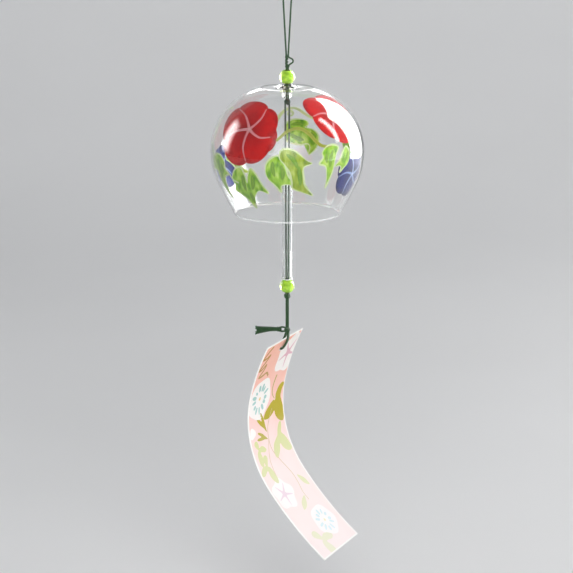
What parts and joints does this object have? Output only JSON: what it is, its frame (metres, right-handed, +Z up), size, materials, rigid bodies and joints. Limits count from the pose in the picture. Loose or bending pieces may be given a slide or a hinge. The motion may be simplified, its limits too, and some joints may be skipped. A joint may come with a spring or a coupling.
{
  "type": "glass wind bell",
  "caption": "Hanging wind bell: clear blown-glass globe on a cord, with a glass tube clapper and a curved paper strip below that catches the wind.",
  "frame": {"origin": "the point where the cord's loop bears on its hook", "axes": "+Z up along the hanging cord; -Y is the side that the picture shows"},
  "size_m": [0.08, 0.08, 0.3133],
  "materials": {
    "clear_glass": "clear blown glass, fire-polished",
    "bead_glass": "translucent lime-green glass",
    "cord": "twisted dark-green cord",
    "card": "stiff card, printed, matte"
  },
  "bodies": {
    "hook_loop": {"loop_top": "cord"},
    "hanging_cord": {"hanging_cord_left": "cord", "hanging_cord_right": "cord"},
    "neck": {"upper_knot": "cord", "neck_cord_left": "cord", "neck_cord_right": "cord"},
    "upper_bead": {"upper_bead": "bead_glass"},
    "stopper": {"stopper_bead": "clear_glass"},
    "globe": {"glass_globe": "clear_glass"},
    "stopper_knot": {"stopper_knot": "cord"},
    "clapper_cord": {"clapper_cord_left": "cord", "clapper_cord_right": "cord"},
    "lower_bead": {"lower_bead": "bead_glass"},
    "clapper_tube": {"clapper_tube": "clear_glass"},
    "lower_knot": {"lower_knot": "cord"},
    "strip_cord": {"strip_cord_left": "cord", "strip_cord_right": "cord"},
    "tie_knot": {"tie_knot": "cord", "tie_tail_lower": "cord", "tie_tail_upper": "cord"},
    "strip": {"tie_loop_left": "cord", "tie_loop_right": "cord", "paper_strip": "card"}
  },
  "joints": [
    {"name": "bell_sway", "type": "hinge", "parent": "hook_loop", "child": "hanging_cord", "pos_m": [0, 0, -0.00255], "axis": [1, 0, 0], "range_deg": [-30, 30]},
    {"name": "bell_swing", "type": "hinge", "parent": "hanging_cord", "child": "neck", "pos_m": [0, 0, -0.05011], "axis": [0, 1, 0], "range_deg": [-30, 30]},
    {"name": "upper_bead_turn", "type": "hinge", "parent": "neck", "child": "upper_bead", "pos_m": [0, 0, -0.05945], "axis": [0, 0, 1], "continuous": true},
    {"name": "globe_rock", "type": "hinge", "parent": "neck", "child": "stopper", "pos_m": [0, 0, -0.0683], "axis": [0, 1, 0], "range_deg": [-6, 6]},
    {"name": "globe_turn", "type": "hinge", "parent": "stopper", "child": "globe", "pos_m": [0, 0, -0.0683], "axis": [0, 0, 1], "continuous": true},
    {"name": "clapper_sway", "type": "hinge", "parent": "neck", "child": "stopper_knot", "pos_m": [0, 0, -0.07219], "axis": [1, 0, 0], "range_deg": [-15, 15]},
    {"name": "clapper_swing", "type": "hinge", "parent": "stopper_knot", "child": "clapper_cord", "pos_m": [0, 0, -0.07219], "axis": [0, 1, 0], "range_deg": [-21.5, 21.5]},
    {"name": "lower_bead_turn", "type": "hinge", "parent": "clapper_cord", "child": "lower_bead", "pos_m": [0, 0, -0.17012], "axis": [0, 0, 1], "continuous": true},
    {"name": "tube_lift", "type": "slide", "parent": "lower_bead", "child": "clapper_tube", "axis": [0, 0, 1], "range_m": [0, 0.036]},
    {"name": "strip_sway", "type": "hinge", "parent": "clapper_cord", "child": "lower_knot", "pos_m": [0, 0, -0.17559], "axis": [1, 0, 0], "range_deg": [-30, 30]},
    {"name": "strip_swing", "type": "hinge", "parent": "lower_knot", "child": "strip_cord", "pos_m": [0, 0, -0.17559], "axis": [0, 1, 0], "range_deg": [-45, 45]},
    {"name": "strip_turn", "type": "hinge", "parent": "strip_cord", "child": "tie_knot", "pos_m": [0, 0, -0.19409], "axis": [0, 0, 1], "continuous": true},
    {"name": "strip_flap", "type": "hinge", "parent": "tie_knot", "child": "strip", "pos_m": [0, 0, -0.19409], "axis": [0.4644, 0.8846, 0.0436], "range_deg": [-30, 30]}
  ]
}
